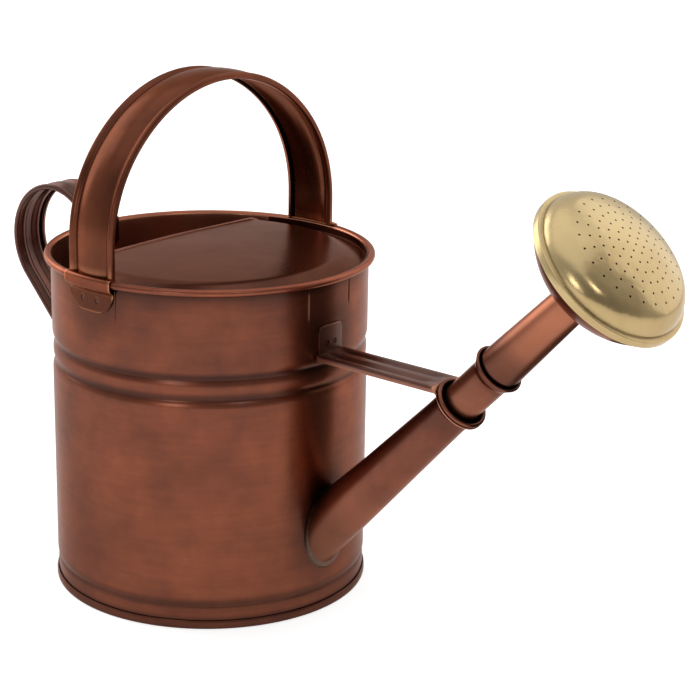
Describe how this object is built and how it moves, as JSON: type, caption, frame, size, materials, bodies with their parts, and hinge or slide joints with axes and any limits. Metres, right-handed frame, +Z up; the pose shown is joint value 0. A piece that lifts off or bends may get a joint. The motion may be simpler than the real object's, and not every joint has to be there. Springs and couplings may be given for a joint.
{
  "type": "watering can",
  "caption": "Round sheet-metal watering can with an arched carry handle, a loop handle behind, a half cover, a braced slanting spout and a removable brass-faced sprinkler rose.",
  "frame": {"origin": "centre of the foot's flat underside, on the can's axis, where the can stands", "axes": "+Z up along the can's axis, +X towards the spout, the loop handle at -X, the carry handle's feet at +Y and -Y"},
  "size_m": [0.4819, 0.1994, 0.3126],
  "materials": {
    "copper_steel": "satin",
    "wire": "satin",
    "solder": "satin",
    "brass_sheet": "gloss"
  },
  "bodies": {
    "can": {"base_plate": "copper_steel", "base_solder": "solder", "body_shell": "copper_steel", "brace_welds": "copper_steel", "carry_handle": "copper_steel", "carry_handle_welds": "copper_steel", "cover_solder": "solder", "cover_wire": "wire", "rear_handle": "copper_steel", "rear_handle_welds": "copper_steel", "rim_wire": "wire", "spout_brace": "copper_steel", "spout_lower": "copper_steel", "spout_solder": "solder", "top_cover": "copper_steel"},
    "extension": {"spout_extension": "copper_steel"},
    "rose": {"rose_cup": "copper_steel", "rose_face": "brass_sheet", "rose_solder": "solder", "rose_stem": "copper_steel"}
  },
  "joints": [
    {"name": "extension_turn", "type": "hinge", "parent": "can", "child": "extension", "pos_m": [0.20145, 0, 0.16263], "axis": [0.6947, 0, 0.7193], "continuous": true},
    {"name": "rose_pull", "type": "slide", "parent": "extension", "child": "rose", "axis": [0.6947, 0, 0.7193], "range_m": [0, 0.045]}
  ]
}
